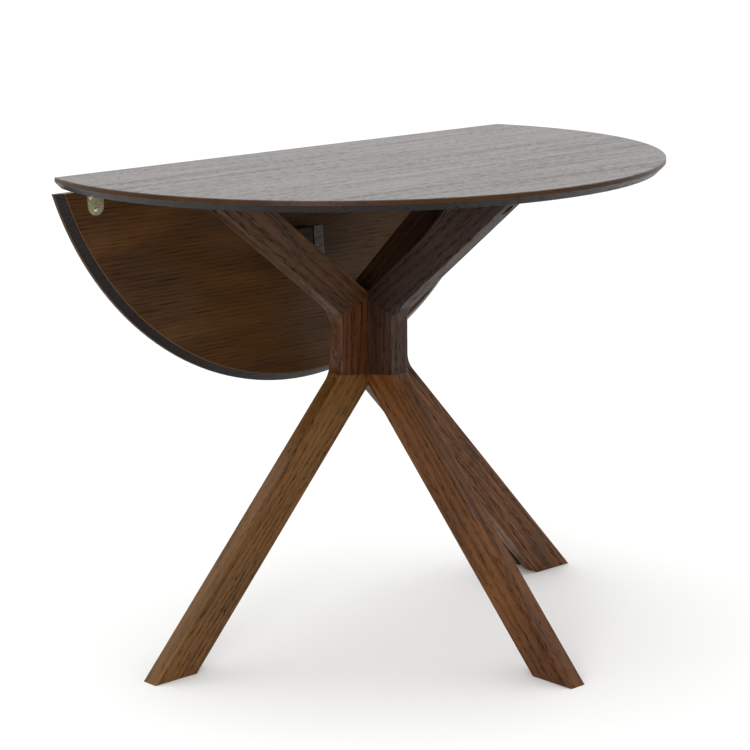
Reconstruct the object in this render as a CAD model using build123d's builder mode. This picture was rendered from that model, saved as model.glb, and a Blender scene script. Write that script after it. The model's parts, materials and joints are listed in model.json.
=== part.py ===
from build123d import *

import os
from math import cos, hypot, radians, sin, tan

# Round drop leaf table on a post of mitred plank legs, with a gate leg that swings out under
# the leaf. Millimetres. +X runs along the joint between top and leaf, +Y points to the leaf and
# +Z is up. All is drawn from the point on the floor under the middle of the round top, then
# saved from the middle of the standing table's footprint, its leaf hanging.

# Top
table_height = 760
top_radius = 495
edge_band = 7  # square part of the rim
rim_bevel = 11  # 45 degree bevel under it
rim_ease = 1
joint_y = 141.5
joint_gap = 1

# Leaf hinges: the pin lies level with the boards' underside and a little inside the joint
hinge_y = 134.5
leaf_hang = 93.4  # degrees from level, where the leaf's weight hangs under the pin
leaf_hinge_x = 407
leaf_flap_width = 30
leaf_flap_length = 46

# Legs, drawn in the upright plane of each: r is the distance from the post's axis
post_axis_y = -36
post_reach = 72
plank_width = 59
plank_thickness = 32
leg_reach = 459  # outer toe at the floor
leg_angle = 42.5  # from upright
arm_angle = 51.5
arm_kink_height = 520
kink_radius = 40
edge_round = 2.5

# Gate leg
gate_gap = 6
gate_floor_clearance = 6
gate_top_clearance = 2.5
gate_hinge_heights = (448, 508)
gate_flap_width = 26
gate_flap_length = 26
gate_pin_offset = 4

# Hardware
flap_thickness = 2
knuckle_radius = 2.7
pin_radius = 1.25
running_clearance = 0.05
knuckle_gap = 0.4
flap_relief = 0.4  # keeps the raised leaf's flaps off the fixed board
dowel_radius = 5
dowel_half_length = 20
plug_radius = 6
plug_length = 6
bolt_heights = (456, 492)
bolt_shank_end = 46
pocket_reach = 309
pocket_seat_height = 727
catch_block_right = 14.5
catch_block_size = (60, 50, 16)
catch_block_y = 244
catch_plate_size = (20, 47.5, 2.5)
catch_plate_x = 38
catch_plate_y = 246

# Worked out from the above
board_thickness = edge_band + rim_bevel
underside = table_height - board_thickness
hinge_z = underside
knuckle_room = knuckle_radius + knuckle_gap
half_plank = plank_thickness / 2
leg_run = plank_width / cos(radians(leg_angle))
arm_run = plank_width / cos(radians(arm_angle))
leg_slope = tan(radians(leg_angle))
arm_slope = tan(radians(arm_angle))
leg_kink_height = (leg_reach - post_reach) / leg_slope
leg_crotch_height = (leg_reach - leg_run) / leg_slope
arm_crotch_height = arm_kink_height + (arm_run - post_reach) / arm_slope
gate_mid_y = post_axis_y + plank_thickness + gate_gap
gate_pin_y = post_axis_y + half_plank + gate_gap / 2
leaf_turn = radians(leaf_hang)
leaf_edge_y = joint_y + joint_gap / 2 - hinge_y
leaf_back_y = hinge_y + board_thickness * sin(leaf_turn) + leaf_edge_y * cos(leaf_turn)
saved_shift_y = (top_radius - leaf_back_y) / 2

# Work planes. A leg plane has x away from the post and y up; a flap plane has its origin on
# the pin, y along the flap and z into the wood.
front_left_plane = Plane(origin=(0, post_axis_y, 0), x_dir=(-1, 0, 0), z_dir=(0, 1, 0))
back_right_plane = Plane(origin=(0, post_axis_y, 0), x_dir=(1, 0, 0), z_dir=(0, -1, 0))
front_right_plane = Plane(origin=(0, post_axis_y, 0), x_dir=(0, -1, 0), z_dir=(-1, 0, 0))
gate_plane = Plane(origin=(0, gate_mid_y, 0), x_dir=(1, 0, 0), z_dir=(0, -1, 0))
leaf_normal = (0, sin(leaf_turn), cos(leaf_turn))
leaf_plane = Plane(origin=(0, hinge_y, hinge_z), x_dir=(1, 0, 0), z_dir=leaf_normal)

os.makedirs("parts", exist_ok=True)


def save(piece, name):
    placed = Pos(0, saved_shift_y, 0) * piece
    placed.label = name
    export_step(placed, f"parts/{name}.step")


def countersunk_screw(planes, head_radius, shank_radius, length):
    """Screws whose flat heads lie in the planes and whose shanks run along minus z."""
    with BuildPart() as screws:
        for plane in planes:
            with BuildSketch(Plane(origin=plane.origin, x_dir=plane.x_dir, z_dir=plane.y_dir)):
                with BuildLine():
                    # x runs out from the screw's axis, y runs down the shank
                    Polyline(
                        (0, 0),
                        (head_radius, 0),
                        (shank_radius, head_radius - shank_radius),
                        (shank_radius, length - 2 * shank_radius),
                        (0, length),
                        close=True,
                    )
                make_face()
            revolve(axis=Axis(plane.origin, plane.z_dir))
            with BuildSketch(plane):
                SlotOverall(1.5 * head_radius, 0.35 * head_radius)
            extrude(amount=-0.35 * head_radius, mode=Mode.SUBTRACT)
    return screws.part


def screw_holes(planes, head_radius, shank_radius, length):
    """The space that countersunk screws fill, without the slots in their heads."""
    with BuildPart() as holes:
        for plane in planes:
            with BuildSketch(Plane(origin=plane.origin, x_dir=plane.x_dir, z_dir=plane.y_dir)):
                with BuildLine():
                    Polyline(
                        (0, 0),
                        (head_radius, 0),
                        (shank_radius, head_radius - shank_radius),
                        (shank_radius, length),
                        (0, length),
                        close=True,
                    )
                make_face()
            revolve(axis=Axis(plane.origin, plane.z_dir))
    return holes.part


def on_plane(plane, points, depth):
    """Planes at local points of a plane, facing out of the wood, at a depth along its z."""
    return [
        Plane(origin=plane.from_local_coords((x, y, depth)), x_dir=plane.x_dir, z_dir=-plane.z_dir)
        for x, y in points
    ]


# --- Hinges ---------------------------------------------------------------------------------

leaf_flap_holes = [(-8.5, 17.5), (8.5, 17.5), (0, 37)]
gate_flap_holes = [(-7.5, 15), (7.5, 15)]
leaf_screw = (3.6, 1.7, 14)
gate_screw = (3.2, 1.6, 14)

# From the pin to the open face of a flap; the wood is a flap's thickness behind it
leaf_flap_face = -flap_thickness
gate_flap_face = gate_gap / 2 - flap_thickness


def knuckle_spans(width, moving):
    """The middle third of a hinge belongs to the fixed flap, the outer thirds to the other."""
    third = width / 3
    if moving:
        return [(-width / 2, -third / 2 - knuckle_gap), (third / 2 + knuckle_gap, width / 2)]
    return [(-third / 2, third / 2)]


def hinge_flap(plane, face, width, length, rounded, moving, holes, screw):
    """A stamped flap with its rolled knuckles, on a plane whose x runs along the pin."""
    along_pin = Plane(origin=plane.origin, x_dir=plane.y_dir, z_dir=plane.x_dir)
    bore = pin_radius + (running_clearance if moving else 0)
    with BuildPart() as flap:
        with BuildSketch(plane.offset(face)):
            with Locations((0, length / 2)):
                Rectangle(width, length)
            if rounded:
                fillet(vertices().group_by(Axis.Y)[-1], width / 2 - 0.01)
            else:
                fillet(vertices().group_by(Axis.Y)[-1], 2)
        extrude(amount=flap_thickness)
        if moving and rounded:
            with BuildSketch(plane.offset(face + flap_thickness - flap_relief)):
                Rectangle(width, 2 * leaf_edge_y)
            extrude(amount=flap_relief, mode=Mode.SUBTRACT)
        # Room for the other flap's knuckles
        for low, high in knuckle_spans(width, not moving):
            with BuildSketch(plane.offset(-knuckle_room)):
                with Locations(((low + high) / 2, 0)):
                    Rectangle(high - low + 2 * knuckle_gap, 2 * knuckle_room)
            extrude(amount=2 * knuckle_room, mode=Mode.SUBTRACT)
        for low, high in knuckle_spans(width, moving):
            with BuildSketch(along_pin.offset(low)):
                Circle(knuckle_radius)
            extrude(amount=high - low)
        with BuildSketch(along_pin.offset(-width / 2)):
            Circle(bore)
        extrude(amount=width, mode=Mode.SUBTRACT)
        add(screw_holes(on_plane(plane, holes, face), *screw), mode=Mode.SUBTRACT)
    return flap.part


def hinge_pin(plane, width):
    along_pin = Plane(origin=plane.origin, x_dir=plane.y_dir, z_dir=plane.x_dir)
    with BuildPart() as pin:
        with BuildSketch(along_pin.offset(-width / 2)):
            Circle(pin_radius)
        extrude(amount=width)
        chamfer(edges(), 0.3)
    return pin.part


top_flap_planes = {
    "left": Plane(origin=(-leaf_hinge_x, hinge_y, hinge_z), x_dir=(-1, 0, 0), z_dir=(0, 0, 1)),
    "right": Plane(origin=(leaf_hinge_x, hinge_y, hinge_z), x_dir=(-1, 0, 0), z_dir=(0, 0, 1)),
}
leaf_flap_planes = {
    "left": Plane(origin=(-leaf_hinge_x, hinge_y, hinge_z), x_dir=(1, 0, 0), z_dir=leaf_normal),
    "right": Plane(origin=(leaf_hinge_x, hinge_y, hinge_z), x_dir=(1, 0, 0), z_dir=leaf_normal),
}
post_flap_planes = {}
gate_flap_planes = {}
for level, height in zip(("lower", "upper"), gate_hinge_heights):
    pin_centre = (-gate_pin_offset, gate_pin_y, height)
    post_flap_planes[level] = Plane(origin=pin_centre, x_dir=(0, 0, -1), z_dir=(0, -1, 0))
    gate_flap_planes[level] = Plane(origin=pin_centre, x_dir=(0, 0, 1), z_dir=(0, 1, 0))

for side in ("left", "right"):
    leaf_flap = (leaf_flap_face, leaf_flap_width, leaf_flap_length, True)
    save(
        hinge_flap(top_flap_planes[side], *leaf_flap, False, leaf_flap_holes, leaf_screw),
        f"{side}_hinge_top_flap",
    )
    save(
        hinge_flap(leaf_flap_planes[side], *leaf_flap, True, leaf_flap_holes, leaf_screw),
        f"{side}_hinge_leaf_flap",
    )
    save(hinge_pin(top_flap_planes[side], leaf_flap_width), f"{side}_hinge_pin")

for level in ("lower", "upper"):
    gate_flap = (gate_flap_face, gate_flap_width, gate_flap_length, False)
    save(
        hinge_flap(post_flap_planes[level], *gate_flap, False, gate_flap_holes, gate_screw),
        f"{level}_gate_hinge_post_flap",
    )
    save(
        hinge_flap(gate_flap_planes[level], *gate_flap, True, gate_flap_holes, gate_screw),
        f"{level}_gate_hinge_gate_flap",
    )
    save(hinge_pin(post_flap_planes[level], gate_flap_width), f"{level}_gate_hinge_pin")

top_hinge_places = []
leaf_hinge_places = []
for side in ("left", "right"):
    top_hinge_places += on_plane(top_flap_planes[side], leaf_flap_holes, leaf_flap_face)
    leaf_hinge_places += on_plane(leaf_flap_planes[side], leaf_flap_holes, leaf_flap_face)
post_hinge_places = []
gate_hinge_places = []
for level in ("lower", "upper"):
    post_hinge_places += on_plane(post_flap_planes[level], gate_flap_holes, gate_flap_face)
    gate_hinge_places += on_plane(gate_flap_planes[level], gate_flap_holes, gate_flap_face)

save(countersunk_screw(top_hinge_places, *leaf_screw), "top_hinge_screws")
save(countersunk_screw(leaf_hinge_places, *leaf_screw), "leaf_hinge_screws")
save(countersunk_screw(post_hinge_places, *gate_screw), "post_gate_hinge_screws")
save(countersunk_screw(gate_hinge_places, *gate_screw), "gate_hinge_screws")

# --- Legs -----------------------------------------------------------------------------------

leg_planes = {
    "front_left": front_left_plane,
    "front_right": front_right_plane,
    "back_right": back_right_plane,
}


def leg_outline(foot, top):
    """The whole leg's outline, from the level of its foot to the level of its top."""
    arm_at_top = post_reach + (top - arm_kink_height) * arm_slope
    toe = leg_reach - foot * leg_slope
    return [
        (toe, foot),
        (post_reach, leg_kink_height),
        (post_reach, arm_kink_height),
        (arm_at_top, top),
        (arm_at_top - arm_run, top),
        (0, arm_crotch_height),
        (0, leg_crotch_height),
        (toe - leg_run, foot),
    ]


def dowel_places(plane):
    """Planes on the two mitres of a leg, square to each, where its dowels cross."""
    places = []
    for kink, crotch, stations in (
        (leg_kink_height, leg_crotch_height, (0.2, 0.55)),
        (arm_kink_height, arm_crotch_height, (0.25, 0.6)),
    ):
        mitre = hypot(post_reach, crotch - kink)
        normal = plane.x_dir * ((crotch - kink) / mitre) + plane.y_dir * (post_reach / mitre)
        for station in stations:
            r = post_reach * (1 - station)
            z = kink + (crotch - kink) * station
            places.append(Plane(origin=plane.from_local_coords((r, z, 0)), z_dir=normal))
    return places


def dowels(plane):
    with BuildPart() as pins:
        for place in dowel_places(plane):
            with BuildSketch(place):
                Circle(dowel_radius)
            extrude(amount=dowel_half_length, both=True)
    return pins.part


def leg_blank(plane, foot, top):
    """The leg before it is parted at the mitres, with its edges rounded over."""
    with BuildPart() as blank:
        with BuildSketch(plane):
            with BuildLine():
                Polyline(*leg_outline(foot, top), close=True)
            make_face()
            kinks = vertices().filter_by(
                lambda v: abs((v.center() - plane.origin).dot(plane.x_dir) - post_reach) < 0.01
                or abs(v.X - post_reach) < 0.01
            )
            fillet(kinks, kink_radius)
        extrude(amount=half_plank, both=True)
        outline_edges = edges().filter_by(
            lambda e: abs(abs((e.center() - plane.origin).dot(plane.z_dir)) - half_plank) < 0.01
        )
        kept_sharp = [
            e
            for e in outline_edges
            if abs((e.center() - plane.origin).dot(plane.x_dir)) < 0.01
            or abs((e.center() - plane.origin).dot(plane.y_dir) - top) < 0.01
        ]
        fillet([e for e in outline_edges if e not in kept_sharp], edge_round)
        add(dowels(plane), mode=Mode.SUBTRACT)
    return blank.part


def mitre_plane(plane, kink, crotch):
    """The plane of a mitre, its z pointing up."""
    origin = plane.from_local_coords((post_reach, kink, 0))
    along = plane.from_local_coords((0, crotch, 0)) - origin
    normal = along.cross(plane.z_dir).normalized()
    return Plane(origin=origin, z_dir=normal if normal.Z > 0 else -normal)


def part_leg(blank, plane):
    """Parts a blank at its mitres into the lower leg, the post and the upper arm."""
    low_mitre = mitre_plane(plane, leg_kink_height, leg_crotch_height)
    high_mitre = mitre_plane(plane, arm_kink_height, arm_crotch_height)
    with BuildPart() as lower_leg:
        add(blank)
        split(bisect_by=low_mitre, keep=Keep.BOTTOM)
    with BuildPart() as post:
        add(blank)
        split(bisect_by=low_mitre, keep=Keep.TOP)
        split(bisect_by=high_mitre, keep=Keep.BOTTOM)
    with BuildPart() as upper_arm:
        add(blank)
        split(bisect_by=high_mitre, keep=Keep.TOP)
    return {"lower_leg": lower_leg.part, "post": post.part, "upper_arm": upper_arm.part}


# Long screws from the left post into the back one, under wood plugs
bolt_places = [
    Plane(origin=(plug_length - post_reach, post_axis_y, z), x_dir=(0, 1, 0), z_dir=(-1, 0, 0))
    for z in bolt_heights
]
bolt = (5, 3, bolt_shank_end + post_reach - plug_length)

# Two screws from the back of the post hold the front right leg
rear_screw_places = [
    Plane(origin=(x, post_axis_y + half_plank, 478), x_dir=(1, 0, 0), z_dir=(0, 1, 0))
    for x in (-9, 9)
]
rear_screw = (4.8, 2.4, 70)

with BuildPart() as post_plugs:
    for z in bolt_heights:
        with BuildSketch(Plane(origin=(-post_reach, post_axis_y, z), z_dir=(1, 0, 0))):
            Circle(plug_radius)
        extrude(amount=plug_length)

save(post_plugs.part, "post_plugs")
save(countersunk_screw(bolt_places, *bolt), "post_screws")
save(countersunk_screw(rear_screw_places, *rear_screw), "front_leg_screws")

post_drillings = [
    post_plugs.part,
    screw_holes(bolt_places, *bolt),
    screw_holes(rear_screw_places, *rear_screw),
    screw_holes(post_hinge_places, *gate_screw),
]


def pocket(plane):
    """The slotted pocket under an arm, and the narrow hole above it, for its fixing screw."""
    centre = plane.from_local_coords((pocket_reach, pocket_seat_height, 0))
    seat = Plane(origin=centre, x_dir=plane.x_dir, z_dir=(0, 0, -1))
    with BuildPart() as hollow:
        with BuildSketch(seat):
            SlotOverall(20, 10)
        extrude(amount=60)
        with BuildSketch(seat):
            Circle(2.25)
        extrude(amount=-(underside - pocket_seat_height))
    return hollow.part


for name, leg_plane in leg_planes.items():
    blank = leg_blank(leg_plane, 0, underside)
    with BuildPart() as drilled:
        add(blank)
        if name == "front_right":
            # Butts against the flat side of the other two legs
            butt = Plane(origin=(0, post_axis_y - half_plank, 0), z_dir=(0, -1, 0))
            split(bisect_by=butt, keep=Keep.TOP)
        for drilling in [*post_drillings, pocket(leg_plane)]:
            add(drilling, mode=Mode.SUBTRACT)
    for role, piece in part_leg(drilled.part, leg_plane).items():
        save(piece, f"{name}_{role}")
    save(dowels(leg_plane), f"{name}_dowels")

gate_blank = leg_blank(gate_plane, gate_floor_clearance, underside - gate_top_clearance)
with BuildPart() as gate_drilled:
    add(gate_blank)
    add(screw_holes(gate_hinge_places, *gate_screw), mode=Mode.SUBTRACT)
for role, piece in part_leg(gate_drilled.part, gate_plane).items():
    save(piece, f"gate_{role}")
save(dowels(gate_plane), "gate_dowels")

# --- Fixed top and drop leaf ----------------------------------------------------------------

# Pan head screws in the pockets of the arms
arm_screw_places = [
    Plane(
        origin=plane.from_local_coords((pocket_reach, pocket_seat_height, 0)),
        x_dir=plane.x_dir,
        z_dir=(0, 0, 1),
    )
    for plane in leg_planes.values()
]
with BuildPart() as arm_screws:
    for place in arm_screw_places:
        with BuildSketch(place):
            Circle(2.25)
        extrude(amount=underside - pocket_seat_height + 11)
        with BuildSketch(place):
            Circle(4.5)
        extrude(amount=-3)
        with BuildSketch(place.offset(-3)):
            Rectangle(5, 1)
            Rectangle(1, 5)
        extrude(amount=1.2, mode=Mode.SUBTRACT)
save(arm_screws.part, "arm_screws")


def board(plane, cut_y, side):
    """The round board on the far or near side of a line across it, on a plane at its underside."""
    with BuildPart() as piece:
        with BuildSketch(plane):
            Circle(top_radius)
            with Locations((0, cut_y - side * top_radius)):
                Rectangle(2 * top_radius, 2 * top_radius, mode=Mode.SUBTRACT)
        extrude(amount=board_thickness)
        rims = edges().filter_by(GeomType.CIRCLE)
        depth = plane.origin.dot(plane.z_dir)
        under_rim = [e for e in rims if abs(e.arc_center.dot(plane.z_dir) - depth) < 0.01]
        upper_rim = [e for e in rims if abs(e.arc_center.dot(plane.z_dir) - depth) > 0.01]
        chamfer(under_rim, rim_bevel)
        chamfer(upper_rim, rim_ease)
    return piece.part


with BuildPart() as fixed_top:
    add(board(Plane.XY.offset(underside), joint_y - joint_gap / 2, -1))
    for place in arm_screw_places:
        with BuildSketch(Plane(origin=place.origin, z_dir=(0, 0, 1))):
            Circle(2.25)
        extrude(amount=underside - pocket_seat_height + 11, mode=Mode.SUBTRACT)
    add(screw_holes(top_hinge_places, *leaf_screw), mode=Mode.SUBTRACT)
    # Grooves that take the hinge knuckles
    with BuildSketch(Plane.XY.offset(underside)):
        with Locations((-leaf_hinge_x, hinge_y), (leaf_hinge_x, hinge_y)):
            Rectangle(leaf_flap_width + 2 * knuckle_gap, 2 * knuckle_room)
    extrude(amount=knuckle_room, mode=Mode.SUBTRACT)
save(fixed_top.part, "fixed_top")

# The leaf plane's x and y are those of the level table, counted from the hinge line
board_centre = leaf_plane.from_local_coords((0, -hinge_y, 0))
leaf_underside = Plane(origin=board_centre, x_dir=(1, 0, 0), z_dir=leaf_normal)
leaf_face = -catch_plate_size[2]
block_face = -catch_block_size[2]
block_x = catch_block_right - catch_block_size[0] / 2
block_y = catch_block_y + catch_block_size[1] / 2 - hinge_y
plate_y = catch_plate_y + catch_plate_size[1] / 2 - hinge_y
block_screw_places = on_plane(
    leaf_plane, [(block_x - 15, block_y), (block_x + 15, block_y)], block_face
)
plate_screw_places = on_plane(
    leaf_plane, [(catch_plate_x, plate_y - 12.5), (catch_plate_x, plate_y + 12.5)], leaf_face
)
block_screw = (4.2, 2, 26)
plate_screw = (4, 2, 14)

with BuildPart() as leaf_panel:
    add(board(leaf_underside, joint_y + joint_gap / 2, 1))
    add(screw_holes(leaf_hinge_places, *leaf_screw), mode=Mode.SUBTRACT)
    add(screw_holes(block_screw_places, *block_screw), mode=Mode.SUBTRACT)
    add(screw_holes(plate_screw_places, *plate_screw), mode=Mode.SUBTRACT)
save(leaf_panel.part, "leaf_panel")

with BuildPart() as catch_block:
    with BuildSketch(leaf_plane.offset(block_face)):
        with Locations((block_x, block_y)):
            Rectangle(*catch_block_size[:2])
    extrude(amount=catch_block_size[2])
    chamfer(faces().sort_by(Axis(leaf_plane.origin, leaf_plane.z_dir))[0].edges(), 1.5)
    add(screw_holes(block_screw_places, *block_screw), mode=Mode.SUBTRACT)
save(catch_block.part, "catch_block")

with BuildPart() as catch_plate:
    with BuildSketch(leaf_plane.offset(leaf_face)):
        with Locations((catch_plate_x, plate_y)):
            Rectangle(*catch_plate_size[:2])
    extrude(amount=catch_plate_size[2])
    fillet(edges().filter_by(Axis(leaf_plane.origin, leaf_plane.z_dir)), 1)
    add(screw_holes(plate_screw_places, *plate_screw), mode=Mode.SUBTRACT)
save(catch_plate.part, "catch_plate")

save(countersunk_screw(block_screw_places, *block_screw), "catch_block_screws")
save(countersunk_screw(plate_screw_places, *plate_screw), "catch_plate_screws")
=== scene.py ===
import json
import math

import bpy
import numpy as np
from mathutils import Matrix, Vector


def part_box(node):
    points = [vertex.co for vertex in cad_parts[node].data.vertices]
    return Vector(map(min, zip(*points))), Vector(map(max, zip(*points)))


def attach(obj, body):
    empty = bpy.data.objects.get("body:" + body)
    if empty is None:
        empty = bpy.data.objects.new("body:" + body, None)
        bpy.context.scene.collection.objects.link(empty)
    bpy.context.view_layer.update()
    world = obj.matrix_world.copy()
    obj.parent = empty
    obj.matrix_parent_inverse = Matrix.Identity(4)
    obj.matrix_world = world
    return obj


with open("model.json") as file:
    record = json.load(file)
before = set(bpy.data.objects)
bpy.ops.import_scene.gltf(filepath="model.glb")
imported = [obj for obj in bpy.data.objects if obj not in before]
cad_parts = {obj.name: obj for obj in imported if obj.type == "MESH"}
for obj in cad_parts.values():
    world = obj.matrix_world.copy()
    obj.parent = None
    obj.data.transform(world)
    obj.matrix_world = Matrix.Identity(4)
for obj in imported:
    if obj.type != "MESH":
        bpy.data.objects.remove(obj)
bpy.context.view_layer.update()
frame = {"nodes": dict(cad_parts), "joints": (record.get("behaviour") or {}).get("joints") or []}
nodes = frame["nodes"]
leafHinge = next(j for j in frame["joints"] if j["name"] == "leaf_hinge")
topLow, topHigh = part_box("fixed_top")
topMiddle = Vector((0, topLow.y + (topHigh.x - topLow.x) / 2, 0))  # under the middle of the round
print("frame loaded:", len(nodes), "nodes")


# Small helpers


def srgb(code):
    # hex to linear, the curve that every screen colour uses
    parts = np.array([int(code[i : i + 2], 16) for i in (1, 3, 5)]) / 255
    linear = np.where(parts <= 0.04045, parts / 12.92, ((parts + 0.055) / 1.055) ** 2.4)
    return (*[float(c) for c in linear], 1.0)


def addNode(tree, kind, inputs=None, **settings):
    node = tree.nodes.new(kind)
    for name, value in settings.items():
        setattr(node, name, value)
    for name, value in (inputs or {}).items():
        socket = node.inputs[name]
        if isinstance(value, bpy.types.NodeSocket):
            tree.links.new(value, socket)
        else:
            socket.default_value = value
    return node


def newMaterial(name):
    material = bpy.data.materials.new(name)
    material.use_nodes = True
    tree = material.node_tree
    tree.nodes.clear()
    shader = addNode(tree, "ShaderNodeBsdfPrincipled")
    addNode(tree, "ShaderNodeOutputMaterial", {"Surface": shader.outputs[0]})
    return material, tree, shader


def paint(nodeName, material):
    mesh = nodes[nodeName].data
    mesh.materials.clear()
    mesh.materials.append(material)


def ramp(tree, value, stops):
    node = addNode(tree, "ShaderNodeValToRGB", {"Fac": value})
    elements = node.color_ramp.elements
    while len(elements) < len(stops):
        elements.new(0.5)  # placed just below
    for element, (place, code) in zip(elements, stops):
        element.position = place
        element.color = srgb(code)
    return node.outputs["Color"]


def between(tree, value, low, high, outLow=0.0, outHigh=1.0):
    # low becomes outLow and high becomes outHigh, and what lies outside is held there
    inputs = {"Value": value, 1: low, 2: high, 3: outLow, 4: outHigh}
    return addNode(tree, "ShaderNodeMapRange", inputs).outputs["Result"]


def calc(tree, operation, a, b):
    return addNode(tree, "ShaderNodeMath", {0: a, 1: b}, operation=operation).outputs[0]


def mixColour(tree, share, a, b):
    node = addNode(tree, "ShaderNodeMix", data_type="RGBA")
    for socket, value in ((node.inputs[0], share), (node.inputs[6], a), (node.inputs[7], b)):
        if isinstance(value, bpy.types.NodeSocket):
            tree.links.new(value, socket)
        else:
            socket.default_value = value
    return node.outputs[2]


# Stained oak
# Flat sawn oak, brown stain under satin lacquer: open pores show as short dark dashes along the
# grain, the growth rings as soft darker lines, and the lacquer gives a pale sheen at low angles.

oakGrain = {
    # sizes in metres, across and along the grain
    "pore": (0.0011, 0.018),  # drawn a little coarser than the real 0.3 mm so that it shows
    "streak": (0.0026, 0.09),
    "fibre": (0.0007, 0.03),
    "patch": (0.026, 0.6),
    "blotch": (0.05, 0.22),
    "wander": (0.06, 0.5),
    "ripple": (0.004, 0.05),
    # growth rings: their spacing, and how many ring widths they drift and ripple
    "ringSpacing": 0.0065,
    "ringDrift": 9.6,
    "ringRipple": 0.7,
    "ringDepth": 0.6,  # how far a ring leans with the depth into the wood
    # how much each pattern moves the colour along the ramp, from toneStart
    "toneStart": 0.42,
    "ringShare": 0.16,
    "streakShare": 0.3,
    "fibreShare": 0.45,
    "blotchShare": 0.55,
    "poreStart": 0.44,
    "poreEdge": 0.08,
    "poreSpread": 0.12,  # how far pores crowd into long patches
    "poreInRing": 0.1,
    "poreShare": 0.7,
    "poreColour": "#160C07",
    "fibreHeight": 0.25,  # next to a pore's depth
}


def grainSpace(along, faceNormal, start):
    # rotation that lays the grain on X and the broad face's normal on Z, and a sideways start
    along = Vector(along).normalized()
    normal = Vector(faceNormal).normalized()
    turn = Matrix((along, normal.cross(along), normal))
    return turn.to_euler("XYZ"), Vector(start)


def oakPattern(tree, place, look):
    # place is in metres with the grain along X; gives colour, fibre, pores and a height
    def stretched(pattern, shift, detail, roughness=0.5):
        width, length = look[pattern]
        scale = Vector((width / length, 1, 1)) / width
        start = (shift, shift * 0.7, shift * 1.3)
        moved = addNode(
            tree, "ShaderNodeMapping", {"Vector": place, "Location": start, "Scale": scale}
        ).outputs[0]
        inputs = {"Vector": moved, "Scale": 1.0, "Detail": detail, "Roughness": roughness}
        return addNode(tree, "ShaderNodeTexNoise", inputs).outputs["Fac"]

    def share(value, amount):
        return calc(tree, "MULTIPLY", calc(tree, "SUBTRACT", value, 0.5), amount)

    axes = addNode(tree, "ShaderNodeSeparateXYZ", {0: place}).outputs
    drift = calc(tree, "MULTIPLY", stretched("wander", 3.0, 1.0), look["ringDrift"])
    ripple = calc(tree, "MULTIPLY", stretched("ripple", 8.0, 1.0), look["ringRipple"])
    across = calc(tree, "MULTIPLY", axes[1], 1 / look["ringSpacing"])
    deep = calc(tree, "MULTIPLY", axes[2], look["ringDepth"] / look["ringSpacing"])
    field = calc(tree, "ADD", across, deep)
    field = calc(tree, "ADD", field, drift)
    field = calc(tree, "ADD", field, ripple)
    ring = calc(tree, "PINGPONG", field, 1.0)
    streak = between(tree, stretched("streak", 7.0, 2.0), 0.3, 0.7)
    fibre = stretched("fibre", 5.0, 2.0, 0.6)
    blotch = stretched("blotch", 17.0, 2.0)
    crowding = share(stretched("patch", 23.0, 2.0), look["poreSpread"])
    crowding = calc(tree, "ADD", share(ring, look["poreInRing"]), crowding)
    poreShape = calc(tree, "ADD", stretched("pore", 11.0, 2.0, 0.6), crowding)
    pore = between(tree, poreShape, look["poreStart"], look["poreStart"] - look["poreEdge"])
    tone = calc(tree, "ADD", share(ring, look["ringShare"]), look["toneStart"])
    for part, amount in ((streak, "streakShare"), (fibre, "fibreShare"), (blotch, "blotchShare")):
        tone = calc(tree, "ADD", tone, share(part, look[amount]))
    colour = ramp(tree, tone, look["stops"])
    poreMask = calc(tree, "MULTIPLY", pore, look["poreShare"])
    colour = mixColour(tree, poreMask, colour, srgb(look["poreColour"]))
    height = calc(tree, "SUBTRACT", calc(tree, "MULTIPLY", fibre, look["fibreHeight"]), pore)
    return colour, fibre, pore, height


def lacquer(tree, shader, colour, fibre, height, gloss, look):
    low, high = look["roughness"]
    rough = between(tree, fibre, 0.3, 0.7, low, high)
    bump = {"Height": height, "Strength": look["bump"], "Distance": look["bumpDepth"]}
    normal = addNode(tree, "ShaderNodeBump", bump).outputs[0]
    tree.links.new(colour, shader.inputs["Base Color"])
    tree.links.new(rough, shader.inputs["Roughness"])
    tree.links.new(gloss, shader.inputs["Specular IOR Level"])
    tree.links.new(normal, shader.inputs["Normal"])
    shader.inputs["IOR"].default_value = 1.5


plankLook = {
    **oakGrain,
    "gloss": 0.22,
    "roughness": (0.36, 0.50),
    "bump": 0.5,
    "bumpDepth": 0.0002,
}
plankColours = {
    "golden": [(0.1, "#3A220D"), (0.4, "#5E3E1A"), (0.65, "#704C22"), (0.95, "#835E30")],
    "brown": [(0.1, "#221408"), (0.4, "#3E2813"), (0.65, "#4E321B"), (0.95, "#614425")],
    "umber": [(0.1, "#341E0B"), (0.4, "#5C3818"), (0.65, "#724422"), (0.95, "#8C5C2E")],
    "russet": [(0.1, "#291306"), (0.4, "#4C2910"), (0.65, "#5E3819"), (0.95, "#714A25")],
    "chestnut": [(0.1, "#311807"), (0.4, "#583210"), (0.65, "#6B431A"), (0.95, "#815925")],
    # the last two palettes are darker copies of the brown oak: painted shade for the posts and arms
    # under the top, deepest on the front right arm
    "shadedDark": [(0.1, "#180F09"), (0.4, "#321F15"), (0.65, "#412A1C"), (0.95, "#543926")],
    "paintedShade": [(0.1, "#120B06"), (0.4, "#281811"), (0.65, "#352217"), (0.95, "#452E1F")],
}
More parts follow.
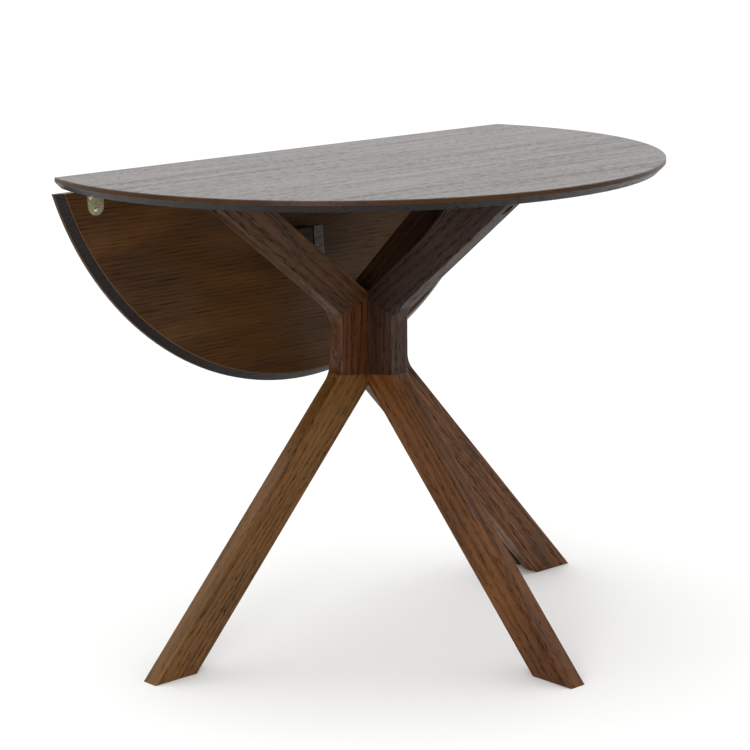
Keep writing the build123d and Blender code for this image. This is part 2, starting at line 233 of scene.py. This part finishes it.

# outward direction of each leg, its broad face's normal, and the planks' colours and streaks; the
# posts and arms under the top take the two palettes with painted shade
legs = {
    "front_left": {
        "out": (-1, 0, 0),
        "face": (0, -1, 0),
        "colours": {"lower_leg": "golden", "post": "russet", "upper_arm": "brown"},
        "streaks": {"lower_leg": 0.25, "post": 0.25, "upper_arm": 0.5},
    },
    "front_right": {
        "out": (0, -1, 0),
        "face": (-1, 0, 0),
        "colours": {"lower_leg": "chestnut", "post": "shadedDark", "upper_arm": "paintedShade"},
        "streaks": {"lower_leg": 0.25, "post": 0.3, "upper_arm": 0.3},
    },
    "back_right": {
        "out": (1, 0, 0),
        "face": (0, -1, 0),
        "colours": {"lower_leg": "umber", "post": "shadedDark", "upper_arm": "shadedDark"},
        "streaks": {"lower_leg": 0.7, "post": 0.3, "upper_arm": 0.3},
    },
    "gate": {
        "out": (1, 0, 0),
        "face": (0, -1, 0),
        "colours": {"lower_leg": "brown", "post": "brown", "upper_arm": "shadedDark"},
        "streaks": {"lower_leg": 0.3, "post": 0.3, "upper_arm": 0.3},
    },
}
plankAngles = {"lower_leg": 137.5, "post": 0, "upper_arm": 51.5}  # from straight up, outwards


def woodPlace(tree, turn, start):
    coords = addNode(tree, "ShaderNodeTexCoord").outputs["Object"]
    inputs = {"Vector": coords, "Rotation": turn, "Location": start}
    return addNode(tree, "ShaderNodeMapping", inputs).outputs[0]


def plankWood(name, along, face, shift, look):
    material, tree, shader = newMaterial(name)
    turn, start = grainSpace(along, face, (shift, shift * 0.37, shift * 0.11))
    colour, fibre, pore, height = oakPattern(tree, woodPlace(tree, turn, start), look)
    gloss = between(tree, pore, 0, 1, look["gloss"], 0)  # an open pore has no sheen
    lacquer(tree, shader, colour, fibre, height, gloss, look)
    return material


for legNumber, (legName, leg) in enumerate(legs.items()):
    for roleNumber, (role, angle) in enumerate(plankAngles.items()):
        outwards = Vector(leg["out"]) * math.sin(math.radians(angle))
        along = outwards + Vector((0, 0, math.cos(math.radians(angle))))
        look = {
            **plankLook,
            "stops": plankColours[leg["colours"][role]],
            "streakShare": leg["streaks"][role],
        }
        shift = 1.7 * legNumber + 0.4 * roleNumber
        material = plankWood(f"stainedOak_{legName}_{role}", along, leg["face"], shift, look)
        paint(f"{legName}_{role}", material)


# The plugs are oak like the post, with glue dark in the joint round them
plugLook = {
    **plankLook,
    "stops": plankColours["brown"],
    "glueColour": "#0D0705",
    "glueWidth": 0.0008,
    "glueEdge": 0.0003,
}


def plugWood():
    low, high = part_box("post_plugs")
    radius = (high.y - low.y) / 2
    material, tree, shader = newMaterial("stainedOakPlug")
    turn, start = grainSpace((0, 0, 1), (-1, 0, 0), (0.9, 0.4, 0.2))
    colour, fibre, pore, height = oakPattern(tree, woodPlace(tree, turn, start), plugLook)
    coords = addNode(tree, "ShaderNodeTexCoord").outputs["Object"]
    axes = addNode(tree, "ShaderNodeSeparateXYZ", {0: coords}).outputs
    across = calc(tree, "SUBTRACT", axes[1], (low.y + high.y) / 2)
    # height from the middle between the plugs, then from the nearer plug's own middle
    upwards = calc(tree, "ABSOLUTE", calc(tree, "SUBTRACT", axes[2], (low.z + high.z) / 2), 0)
    upwards = calc(tree, "SUBTRACT", upwards, (high.z - low.z) / 2 - radius)
    flat = addNode(tree, "ShaderNodeCombineXYZ", {0: across, 1: upwards}).outputs[0]
    reach = addNode(tree, "ShaderNodeVectorMath", {0: flat}, operation="LENGTH").outputs["Value"]
    glue = between(tree, reach, radius - plugLook["glueWidth"], radius - plugLook["glueEdge"])
    colour = mixColour(tree, glue, colour, srgb(plugLook["glueColour"]))
    gloss = between(tree, pore, 0, 1, plugLook["gloss"], 0)
    lacquer(tree, shader, colour, fibre, height, gloss, plugLook)
    return material


paint("post_plugs", plugWood())
print("planks stained")


# Top and leaf
# Oak veneered board, grain along the joint, darker stain on top; its square band is lipped in
# solid wood and the bevel under it is stained nearly black.

boardLook = {
    **oakGrain,
    "gloss": 0.15,
    "topGloss": 0.65,
    "poreGloss": 0.1,  # share of the sheen left over an open pore
    "roughness": (0.28, 0.42),
    "bump": 0.8,
    "bumpDepth": 0.0002,
    "bevelColour": "#0F1011",
    "bevelLip": 0.12,  # how much of the lipping's brown shows through the bevel's stain
    "bevelWidth": 0.0112,
    "bevelEdge": 0.0006,
    "bandIn": 0.0007,
    "lineColour": "#66492E",  # pale line on the lipping just inside the bevel
    "lineOuter": 0.0003,  # the line's sides, inwards from the bevel
    "lineInner": 0.0012,
    "lineFade": 0.0004,
    "topDepth": 0.0010,  # the darker stain ends this far down the eased rim
    "topFade": 0.0005,
}
boardGrain = {
    "top": {
        "pore": (0.0016, 0.012),
        "poreStart": 0.45,
        "poreEdge": 0.06,
        "poreSpread": 0.42,
        "poreShare": 0.45,
        "poreColour": "#0C0A09",
        "streak": (0.0026, 0.3),
        "streakShare": 0.5,
        "stops": [(0.1, "#1F140E"), (0.4, "#36271F"), (0.65, "#443429"), (0.95, "#574536")],
    },
    "under": {
        "pore": (0.0015, 0.06),
        "poreShare": 0.35,
        "streak": (0.0022, 0.5),
        "streakShare": 0.1,
        "fibre": (0.0014, 0.25),
        "fibreShare": 0.24,
        "blotchShare": 0.9,
        "ringSpacing": 0.0034,
        "ringDrift": 4.0,
        "ringShare": 0.13,
        "stops": [(0.1, "#281606"), (0.4, "#40270D"), (0.65, "#4F3312"), (0.95, "#63441A")],
    },
    "band": {
        "poreShare": 0.0,
        "streakShare": 0.0,
        "ringShare": 0.0,
        "fibreShare": 0.15,
        "stops": [(0.1, "#211005"), (0.4, "#37200B"), (0.65, "#462A0F"), (0.95, "#563616")],
    },
}


def boardWood(name, turn, start):
    # turn and start bring the board to the level table's place, counted from its middle
    material, tree, shader = newMaterial(name)
    place = woodPlace(tree, turn, start)
    axes = addNode(tree, "ShaderNodeSeparateXYZ", {0: place}).outputs
    flat = addNode(tree, "ShaderNodeCombineXYZ", {0: axes[0], 1: axes[1]}).outputs[0]
    radius = addNode(tree, "ShaderNodeVectorMath", {0: flat}, operation="LENGTH").outputs["Value"]
    rim = (topHigh.x - topLow.x) / 2
    bandIn = boardLook["bandIn"]
    bevelIn = rim - boardLook["bevelWidth"]
    bevelTop = topLow.z + boardLook["bevelWidth"]
    topEnd = topHigh.z - boardLook["topDepth"]
    lineIn = bevelIn - boardLook["lineInner"]

    # Where each stain lies
    upper = between(tree, axes[2], topEnd - boardLook["topFade"], topEnd)
    band = between(tree, radius, rim - bandIn, rim - bandIn / 2)
    below = between(tree, axes[2], bevelTop, bevelTop - boardLook["bevelEdge"])
    bevel = between(tree, radius, bevelIn - boardLook["lineFade"], bevelIn)
    bevel = calc(tree, "MULTIPLY", bevel, below)
    line = between(tree, radius, lineIn - boardLook["lineFade"], lineIn)
    lineEnd = between(tree, radius, bevelIn, bevelIn - boardLook["lineOuter"])
    line = calc(tree, "MULTIPLY", calc(tree, "MULTIPLY", line, lineEnd), below)

    grain = {side: {**boardLook, **own} for side, own in boardGrain.items()}
    under, fibre, underPore, underHeight = oakPattern(tree, place, grain["under"])
    top, _, topPore, topHeight = oakPattern(tree, place, grain["top"])
    lip = oakPattern(tree, place, grain["band"])[0]
    pore = between(tree, upper, 0, 1, underPore, topPore)
    height = between(tree, upper, 0, 1, underHeight, topHeight)
    stained = mixColour(tree, boardLook["bevelLip"], srgb(boardLook["bevelColour"]), lip)
    colour = mixColour(tree, upper, under, top)
    colour = mixColour(tree, band, colour, lip)
    colour = mixColour(tree, bevel, colour, stained)
    colour = mixColour(tree, line, colour, srgb(boardLook["lineColour"]))
    gloss = between(tree, upper, 0, 1, boardLook["gloss"], boardLook["topGloss"])
    gloss = calc(tree, "MULTIPLY", gloss, between(tree, pore, 0, 1, 1, boardLook["poreGloss"]))
    lacquer(tree, shader, colour, fibre, height, gloss, boardLook)
    return material


paint("fixed_top", boardWood("stainedOakTop", (0, 0, 0), -topMiddle))
hang = math.radians(leafHinge["range_deg"][1])
hingePoint = Vector(leafHinge["pos_m"])
leafStart = hingePoint - Matrix.Rotation(hang, 3, "X") @ hingePoint - topMiddle
paint("leaf_panel", boardWood("stainedOakLeaf", (hang, 0, 0), leafStart))
print("top and leaf stained")


# Metal
# Yellow passivated zinc on pressed steel: straw yellow with faint pink and green where the film
# is thinner. Screws are bright zinc, except the stop plate's, which are yellow zinc darkened with
# painted shade of their countersinks; the stop plate is plain rolled steel.


metalLook = {
    "gritSize": 0.0006,  # the plating's fine texture
    "gritBump": 0.15,
    "gritDepth": 0.00005,
}


def metal(name, stops, roughness, spotSize):
    # roughness is that of the smoothest and the roughest grit, spotSize that of the tarnish
    material, tree, shader = newMaterial(name)
    coords = addNode(tree, "ShaderNodeTexCoord").outputs["Object"]
    spotInputs = {"Vector": coords, "Scale": 1 / spotSize, "Detail": 3.0}
    spots = addNode(tree, "ShaderNodeTexNoise", spotInputs).outputs["Fac"]
    gritInputs = {"Vector": coords, "Scale": 1 / metalLook["gritSize"], "Detail": 2.0}
    grit = addNode(tree, "ShaderNodeTexNoise", gritInputs).outputs["Fac"]
    bump = {
        "Height": grit,
        "Strength": metalLook["gritBump"],
        "Distance": metalLook["gritDepth"],
    }
    normal = addNode(tree, "ShaderNodeBump", bump).outputs[0]
    tree.links.new(ramp(tree, spots, stops), shader.inputs["Base Color"])
    tree.links.new(between(tree, grit, 0.3, 0.7, *roughness), shader.inputs["Roughness"])
    tree.links.new(normal, shader.inputs["Normal"])
    shader.inputs["Metallic"].default_value = 1.0
    return material


zincFilm = [
    (0.32, "#8E9E78"),
    (0.44, "#B9B07A"),
    (0.54, "#A9AE92"),
    (0.64, "#A98577"),
    (0.72, "#9C9A62"),
]
yellowZinc = metal("yellowPassivatedZinc", zincFilm, (0.26, 0.40), 0.006)
brightZinc = metal("brightZincScrew", [(0.35, "#A9A9A6"), (0.65, "#D2D2CC")], (0.20, 0.34), 0.004)
# the stop plate's screws: yellow zinc darkened with painted shade of the countersinks round them
shadedPlateScrew = metal("shadedYellowZincScrew", [(0.35, "#4A3C2A"), (0.65, "#8A7550")], (0.34, 0.48), 0.003)
rolledSteel = metal("rolledSteel", [(0.35, "#544F4D"), (0.65, "#6E6966")], (0.36, 0.50), 0.01)

for nodeName in nodes:
    if "hinge" in nodeName and "screws" not in nodeName:
        paint(nodeName, yellowZinc)
    elif nodeName == "catch_plate_screws":
        paint(nodeName, shadedPlateScrew)
    elif "screws" in nodeName:
        paint(nodeName, brightZinc)
paint("catch_plate", rolledSteel)
print("metal done")


# Screw heads on the leaf hinges: shallow domes with a cross recess, bright zinc, just wide enough
# to hide the flat heads under them
headLook = {
    "radius": 0.0037,
    "rise": 0.0011,
    "sink": 0.0002,  # the closing point below, inside the flap
    "crossLength": 0.0040,
    "crossWidth": 0.0009,
    "crossDepth": 0.0008,
    "crossEdge": 0.0003,
    "flapFace": 0.002,  # from the pin to the open face of a flap
    "places": [(-0.0085, 0.0175), (0.0085, 0.0175), (0, 0.037)],  # along the pin, along the flap
    "rings": 26,
    "segments": 64,
}


def screwHead(name, centre, along, outwards, body):
    # height is the rise times one less the squared share of the radius, less the depth inside
    # either bar of the cross; a point closes the head at its middle and one closes it below
    share = np.linspace(0, 1, headLook["rings"])[1:, None]
    angle = np.linspace(0, 2 * np.pi, headLook["segments"], endpoint=False)[None, :]
    x = headLook["radius"] * share * np.cos(angle)
    y = headLook["radius"] * share * np.sin(angle)

    def bar(u, v):
        edge = headLook["crossEdge"]
        inWidth = np.clip((headLook["crossWidth"] / 2 - np.abs(u)) / edge + 0.5, 0, 1)
        inLength = np.clip((headLook["crossLength"] / 2 - np.abs(v)) / edge + 0.5, 0, 1)
        return inWidth * inLength

    z = headLook["rise"] * (1 - share**2)
    z = z - headLook["crossDepth"] * np.maximum(bar(x, y), bar(y, x))
    along = np.array(along)
    outwards = np.array(outwards)
    sideways = np.cross(outwards, along)
    middle = [centre + (headLook["rise"] - headLook["crossDepth"]) * outwards]
    rows = centre + x[..., None] * along + y[..., None] * sideways + z[..., None] * outwards
    below = [centre - headLook["sink"] * outwards]
    index = 1 + np.arange(x.size).reshape(x.shape)
    after = np.roll(index, -1, axis=1)
    last = x.size + 1
    fan = np.stack([np.zeros_like(index[0]), index[0], after[0]], -1)
    under = np.stack([np.full_like(index[0], last), after[-1], index[-1]], -1)
    quads = np.stack([index[:-1], index[1:], after[1:], after[:-1]], -1).reshape(-1, 4)
    points = np.concatenate([middle, rows.reshape(-1, 3), below])
    mesh = bpy.data.meshes.new(name)
    mesh.from_pydata(points.tolist(), [], fan.tolist() + quads.tolist() + under.tolist())
    mesh.polygons.foreach_set("use_smooth", [True] * len(mesh.polygons))
    mesh.materials.append(brightZinc)
    head = bpy.data.objects.new(name, mesh)
    bpy.context.scene.collection.objects.link(head)
    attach(head, body)


flapAxes = {
    # body, then the flap's length and the wood's side of it
    "top": ("table_frame", Vector((0, -1, 0)), Vector((0, 0, 1))),
    "leaf": (
        "drop_leaf",
        Vector((0, math.cos(hang), -math.sin(hang))),
        Vector((0, math.sin(hang), math.cos(hang))),
    ),
}
for side in ("left", "right"):
    low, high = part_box(f"{side}_hinge_pin")
    pinMiddle = Vector(((low.x + high.x) / 2, hingePoint.y, hingePoint.z))
    for flapName, (body, lengthways, woodwards) in flapAxes.items():
        for number, (alongPin, alongFlap) in enumerate(headLook["places"], 1):
            centre = pinMiddle + Vector((alongPin, 0, 0)) + alongFlap * lengthways
            centre -= headLook["flapFace"] * woodwards
            name = f"{side}_{flapName}_hinge_screw_head_{number}"
            screwHead(name, np.array(centre), (1, 0, 0), -woodwards, body)
print("screw heads domed")


# Beech dowels, turned and left bare, and the block under the leaf, stained black
dowelLook = {
    **plankLook,
    "poreShare": 0.3,
    "poreColour": "#8A6A45",
    "stops": [(0.1, "#A88458"), (0.5, "#C3A171"), (0.9, "#D8BB8D")],
    "roughness": (0.54, 0.68),
}
blockLook = {
    **plankLook,
    "poreColour": "#120B08",
    "stops": [(0.1, "#1C120D"), (0.5, "#2F2018"), (0.9, "#453125")],
}

dowelBeech = plankWood("turnedBeech", (0, 0, 1), (0, -1, 0), 0.3, dowelLook)
for legName in legs:
    paint(f"{legName}_dowels", dowelBeech)
paint("catch_block", plankWood("blackenedHardwood", (1, 0, 0), (0, -1, 0), 0.5, blockLook))
print("small wood done")


# Floor, light and camera
studio = {
    "floorColour": "#F6F6F5",
    "floorSize": 60.0,
    "floorRoughness": 0.9,
    "floorGloss": 0.1,
    "ceilingStrength": 1.45,
    "backdropStrength": 1.3,  # low down behind the table
    "roomStrength": 0.1,  # low down on the camera's side
    "backdropSide": (0.66, 0.75, 0.0),
    "backdropFade": 0.3,
    "seenStrength": 1.05,  # where the camera looks past the floor
    "keyPower": 60.0,
    "keySize": 1.4,
    "keyPlace": (-3.2, -2.1, 1.1),
    "keyAim": (0, 0.15, 0.45),
}


def makeFloor():
    half = studio["floorSize"] / 2
    corners = [(-half, -half, 0), (half, -half, 0), (half, half, 0), (-half, half, 0)]
    mesh = bpy.data.meshes.new("studioFloor")
    mesh.from_pydata(corners, [], [(0, 1, 2, 3)])
    floor = bpy.data.objects.new("studioFloor", mesh)
    bpy.context.scene.collection.objects.link(floor)
    material, tree, shader = newMaterial("palePaper")
    shader.inputs["Base Color"].default_value = srgb(studio["floorColour"])
    shader.inputs["Roughness"].default_value = studio["floorRoughness"]
    shader.inputs["Specular IOR Level"].default_value = studio["floorGloss"]
    mesh.materials.append(material)


def makeSky():
    world = bpy.data.worlds.new("whiteStudio")
    world.use_nodes = True
    tree = world.node_tree
    background = tree.nodes["Background"]
    direction = addNode(tree, "ShaderNodeTexCoord").outputs["Generated"]
    height = addNode(tree, "ShaderNodeSeparateXYZ", {0: direction}).outputs[2]
    inputs = {0: direction, 1: studio["backdropSide"]}
    facing = addNode(tree, "ShaderNodeVectorMath", inputs, operation="DOT_PRODUCT").outputs["Value"]
    fade = studio["backdropFade"]
    wall = between(tree, facing, -fade, fade, studio["roomStrength"], studio["backdropStrength"])
    strength = between(tree, height, 0, 1, wall, studio["ceilingStrength"])
    seen = addNode(tree, "ShaderNodeLightPath").outputs["Is Camera Ray"]
    strength = between(tree, seen, 0, 1, strength, studio["seenStrength"])
    tree.links.new(strength, background.inputs["Strength"])
    background.inputs["Color"].default_value = (1, 1, 1, 1)
    bpy.context.scene.world = world


def makeKeyLight():
    light = bpy.data.lights.new("key", "AREA")
    light.energy = studio["keyPower"]
    light.size = studio["keySize"]
    keyLight = bpy.data.objects.new("key", light)
    bpy.context.scene.collection.objects.link(keyLight)
    keyLight.location = studio["keyPlace"]
    aim = Vector(studio["keyAim"]) - Vector(studio["keyPlace"])
    keyLight.rotation_euler = aim.to_track_quat("-Z", "Y").to_euler()


cameraView = {
    "fromMiddle": (-2.5380, -2.8088, 1.2379),  # counted from the point under the round's middle
    "yaw": 0.7227,  # from +Y towards +X
    "pitch": 0.2190,  # downwards
    "roll": -0.0141,
    "lens": 114.88,
    "sensor": 36,
    "shift": (0.0656, 0.0072),
    "farEnd": 200,
}


def makeCamera():
    yaw, pitch, roll = cameraView["yaw"], cameraView["pitch"], cameraView["roll"]
    level = math.cos(pitch)
    forward = Vector((math.sin(yaw) * level, math.cos(yaw) * level, -math.sin(pitch)))
    right = forward.cross(Vector((0, 0, 1))).normalized()
    up = right.cross(forward)
    rolledRight = right * math.cos(roll) + up * math.sin(roll)
    rolledUp = up * math.cos(roll) - right * math.sin(roll)
    turn = Matrix((rolledRight, rolledUp, -forward)).transposed()
    data = bpy.data.cameras.new("studioCamera")
    data.lens = cameraView["lens"]
    data.sensor_width = cameraView["sensor"]
    data.shift_x, data.shift_y = cameraView["shift"]
    data.clip_end = cameraView["farEnd"]
    camera = bpy.data.objects.new("studioCamera", data)
    bpy.context.scene.collection.objects.link(camera)
    place = topMiddle + Vector(cameraView["fromMiddle"])
    camera.matrix_world = Matrix.Translation(place) @ turn.to_4x4()
    bpy.context.scene.camera = camera


makeFloor()
makeSky()
makeKeyLight()
makeCamera()
bpy.context.scene.view_settings.view_transform = "Standard"
print("studio ready")

bpy.context.view_layer.update()
